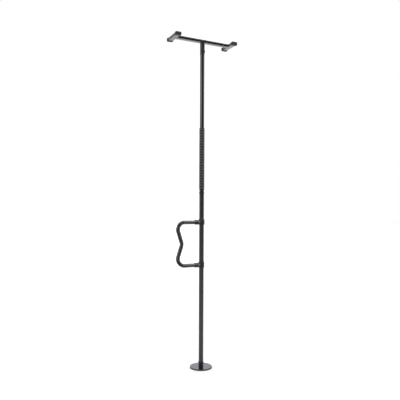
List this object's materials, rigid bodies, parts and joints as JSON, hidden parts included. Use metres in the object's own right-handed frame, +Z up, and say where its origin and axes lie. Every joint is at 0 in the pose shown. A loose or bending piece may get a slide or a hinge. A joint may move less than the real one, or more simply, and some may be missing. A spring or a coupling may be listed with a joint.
{
  "type": "transfer pole",
  "caption": "Floor-to-ceiling transfer pole with a round floor plate and screw jack, telescoping tubes, ribbed grip, swivelling curved handle and T-shaped ceiling mount.",
  "frame": {"origin": "on the floor at the axis of the pole, which is the middle of the bottom of the bounding box", "axes": "+Z up along the pole, X along the ceiling bar with the handle out towards -X at rest, +Y across the ceiling bar, away from the bolt heads of the handle"},
  "size_m": [0.5002, 0.1682, 2.438],
  "materials": {
    "black_paint": "glossy black paint on steel",
    "pad_rubber": "matte black rubber",
    "grip_rubber": "matte charcoal rubber",
    "black_nylon": "moulded black nylon",
    "zinc_steel": "zinc plated steel",
    "bronze": "plain bronze"
  },
  "bodies": {
    "base": {"base_pad": "pad_rubber", "base_plate": "black_paint", "jack_screw": "zinc_steel"},
    "lower": {"thrust_washer": "bronze", "foot_bush": "zinc_steel", "lower_pole": "black_paint", "pole_grip": "grip_rubber", "guide_cap": "black_nylon", "lock_ring": "black_paint", "lock_screws": "zinc_steel", "index_ring": "black_paint", "index_screws": "zinc_steel"},
    "jack": {"jack_collar": "black_paint"},
    "upper": {"upper_pole": "black_paint", "guide_bush": "black_nylon", "top_plug": "black_nylon"},
    "ceiling_mount": {"stem_socket": "black_paint", "stem_bolt": "zinc_steel", "ceiling_bar": "black_paint", "left_channel": "black_paint", "right_channel": "black_paint", "boot_left_front": "pad_rubber", "boot_left_back": "pad_rubber", "boot_right_front": "pad_rubber", "boot_right_back": "pad_rubber"},
    "handle": {"handle_tube": "black_paint", "upper_tee": "black_paint", "lower_tee": "black_paint", "upper_liner": "black_nylon", "lower_liner": "black_nylon", "upper_bolt": "zinc_steel", "lower_bolt": "zinc_steel", "upper_nut": "zinc_steel", "lower_nut": "zinc_steel", "index_spring": "zinc_steel"}
  },
  "joints": [
    {"name": "jack_lift", "type": "slide", "parent": "base", "child": "lower", "axis": [0, 0, 1], "range_m": [0, 0.036]},
    {"name": "jack_turn", "type": "hinge", "parent": "lower", "child": "jack", "pos_m": [0, 0, 0.026], "axis": [0, 0, 1], "range_deg": [0, 3240]},
    {"name": "pole_extend", "type": "slide", "parent": "lower", "child": "upper", "axis": [0, 0, 1], "range_m": [-0.305, 0.61]},
    {"name": "bar_swivel", "type": "hinge", "parent": "upper", "child": "ceiling_mount", "pos_m": [0, 0, 2.38], "axis": [0, 0, 1], "continuous": true},
    {"name": "handle_swivel", "type": "hinge", "parent": "lower", "child": "handle", "pos_m": [0, 0, 0.927], "axis": [0, 0, 1], "continuous": true, "deforming": ["index_spring"]}
  ],
  "couplings": [
    {"joint": "jack_turn", "follows": "jack_lift", "rad_per_m": 1570.8}
  ]
}
